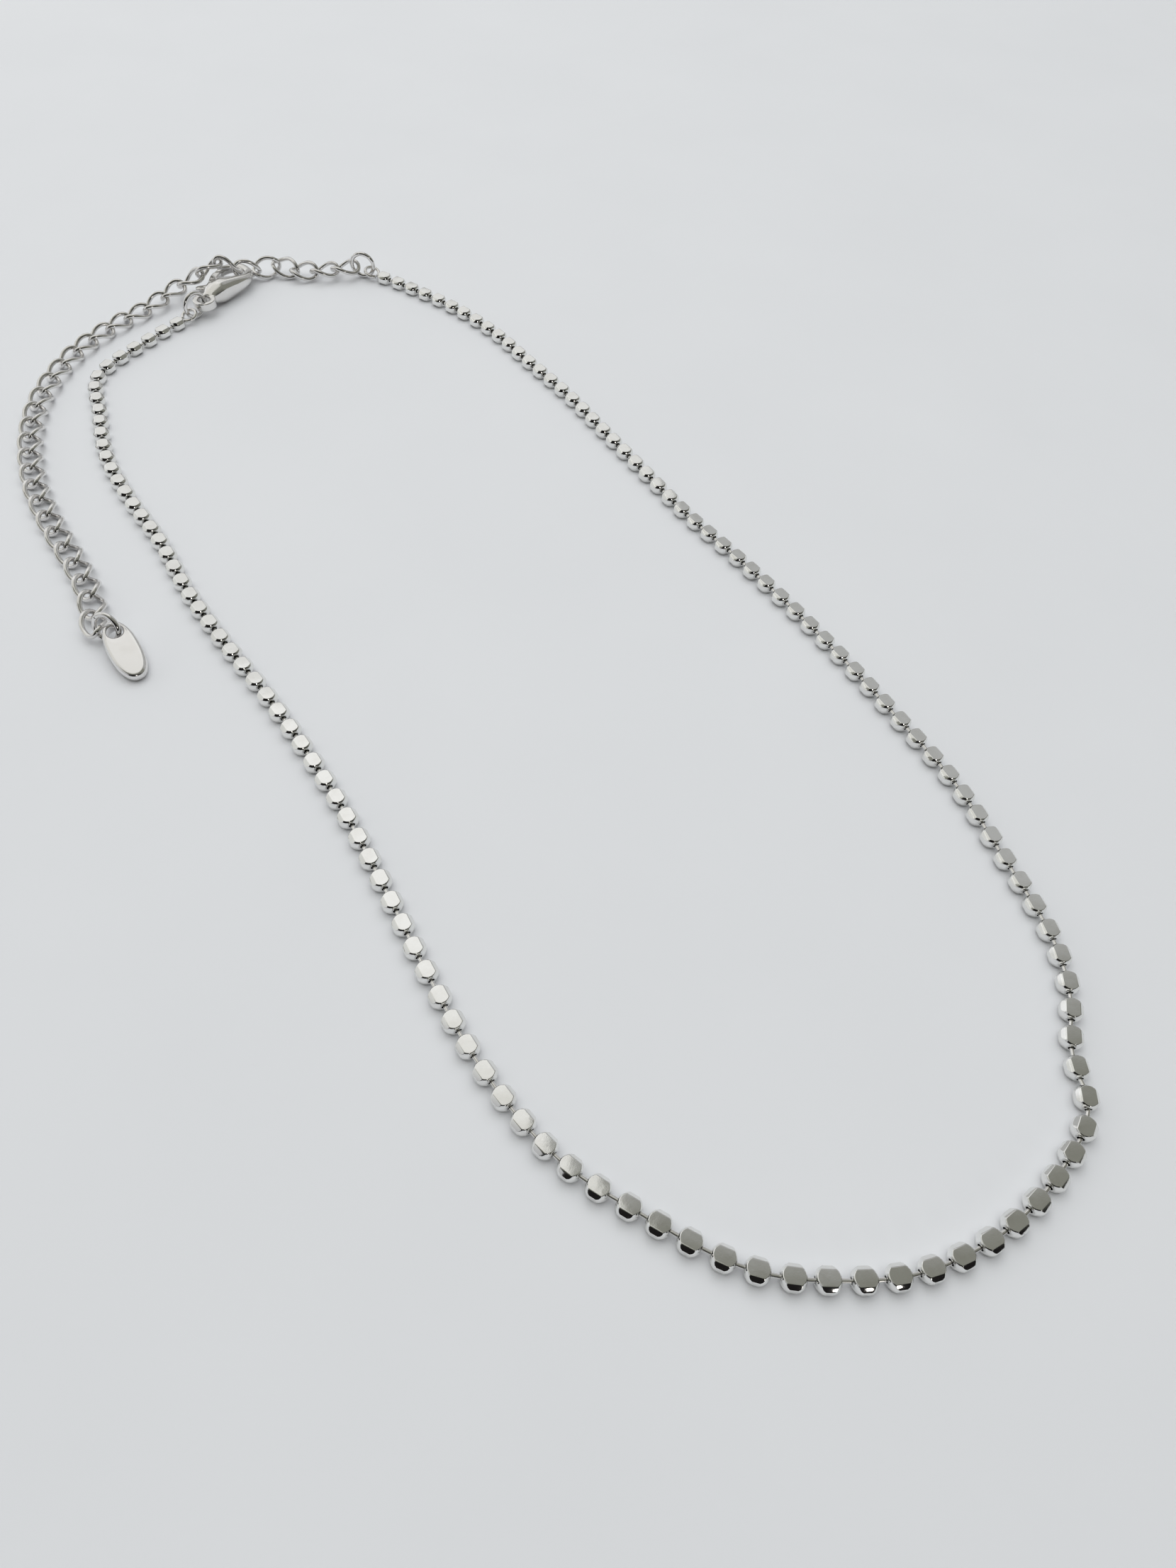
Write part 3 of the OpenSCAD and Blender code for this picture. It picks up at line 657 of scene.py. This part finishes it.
# Room seen in the metal along the direction d: dark behind the camera, and the wall's tone as
# d.y + upShare * d.z rises. The wall's own tone goes from near to far as d.y rises.
def makeRoom():
    world = bpy.data.worlds.new("room")
    world.use_nodes = True
    bpy.context.scene.world = world
    tree = world.node_tree
    back = tree.nodes["Background"]
    place = addNode(tree, "ShaderNodeTexCoord", -900, 0)
    split = addNode(tree, "ShaderNodeSeparateXYZ", -700, 0)
    reach = addNode(tree, "ShaderNodeMath", -500, 0)
    reach.operation = "MULTIPLY_ADD"
    reach.inputs[1].default_value = room["upShare"]
    rise = addNode(tree, "ShaderNodeMapRange", -320, 0, room["rise"])
    rise.interpolation_type = "SMOOTHSTEP"
    tone = addNode(tree, "ShaderNodeMix", -120, 0)
    tone.data_type = "RGBA"
    tone.inputs["A"].default_value = room["behind"]
    far = addNode(tree, "ShaderNodeMapRange", -500, -300, room["far"])
    wall = addNode(tree, "ShaderNodeMix", -320, -300)
    wall.data_type = "RGBA"
    wall.inputs["A"].default_value = room["nearWall"]
    wall.inputs["B"].default_value = room["farWall"]
    tree.links.new(split.outputs["Y"], far.inputs["Value"])
    tree.links.new(far.outputs["Result"], wall.inputs["Factor"])
    tree.links.new(wall.outputs["Result"], tone.inputs["B"])
    tree.links.new(place.outputs["Generated"], split.inputs["Vector"])
    tree.links.new(split.outputs["Z"], reach.inputs[0])
    tree.links.new(split.outputs["Y"], reach.inputs[2])
    tree.links.new(reach.outputs[0], rise.inputs["Value"])
    tree.links.new(rise.outputs["Result"], tone.inputs["Factor"])
    tree.links.new(tone.outputs["Result"], back.inputs["Color"])


cameraSetup = {"at": (15.5, -83, 80.4), "down": 53.606, "roll": 2.79, "lens": 24.14, "sensor": 36,
               "nearest": 1}


# The photo's view: looking down by the angle down from level, and rolled about its own line of sight.
def makeCamera():
    data = bpy.data.cameras.new("photo")
    data.sensor_fit = "VERTICAL"
    data.sensor_height = data.sensor_width = cameraSetup["sensor"]
    data.lens = cameraSetup["lens"]
    data.clip_start = cameraSetup["nearest"] * mm
    camera = bpy.data.objects.new("photo", data)
    turnDown = Matrix.Rotation(math.radians(90 - cameraSetup["down"]), 4, "X")
    turnRoll = Matrix.Rotation(math.radians(cameraSetup["roll"]), 4, "Z")
    camera.matrix_world = Matrix.Translation(Vector(cameraSetup["at"]) * mm) @ turnDown @ turnRoll
    bpy.context.scene.collection.objects.link(camera)
    bpy.context.scene.camera = camera


makeFloor()
makeRoom()
for name, box in softboxes.items():
    addSoftbox(name, box)
makeCamera()
view = bpy.context.scene.view_settings
view.view_transform = "Standard"
view.look = "None"
print("light and camera set")
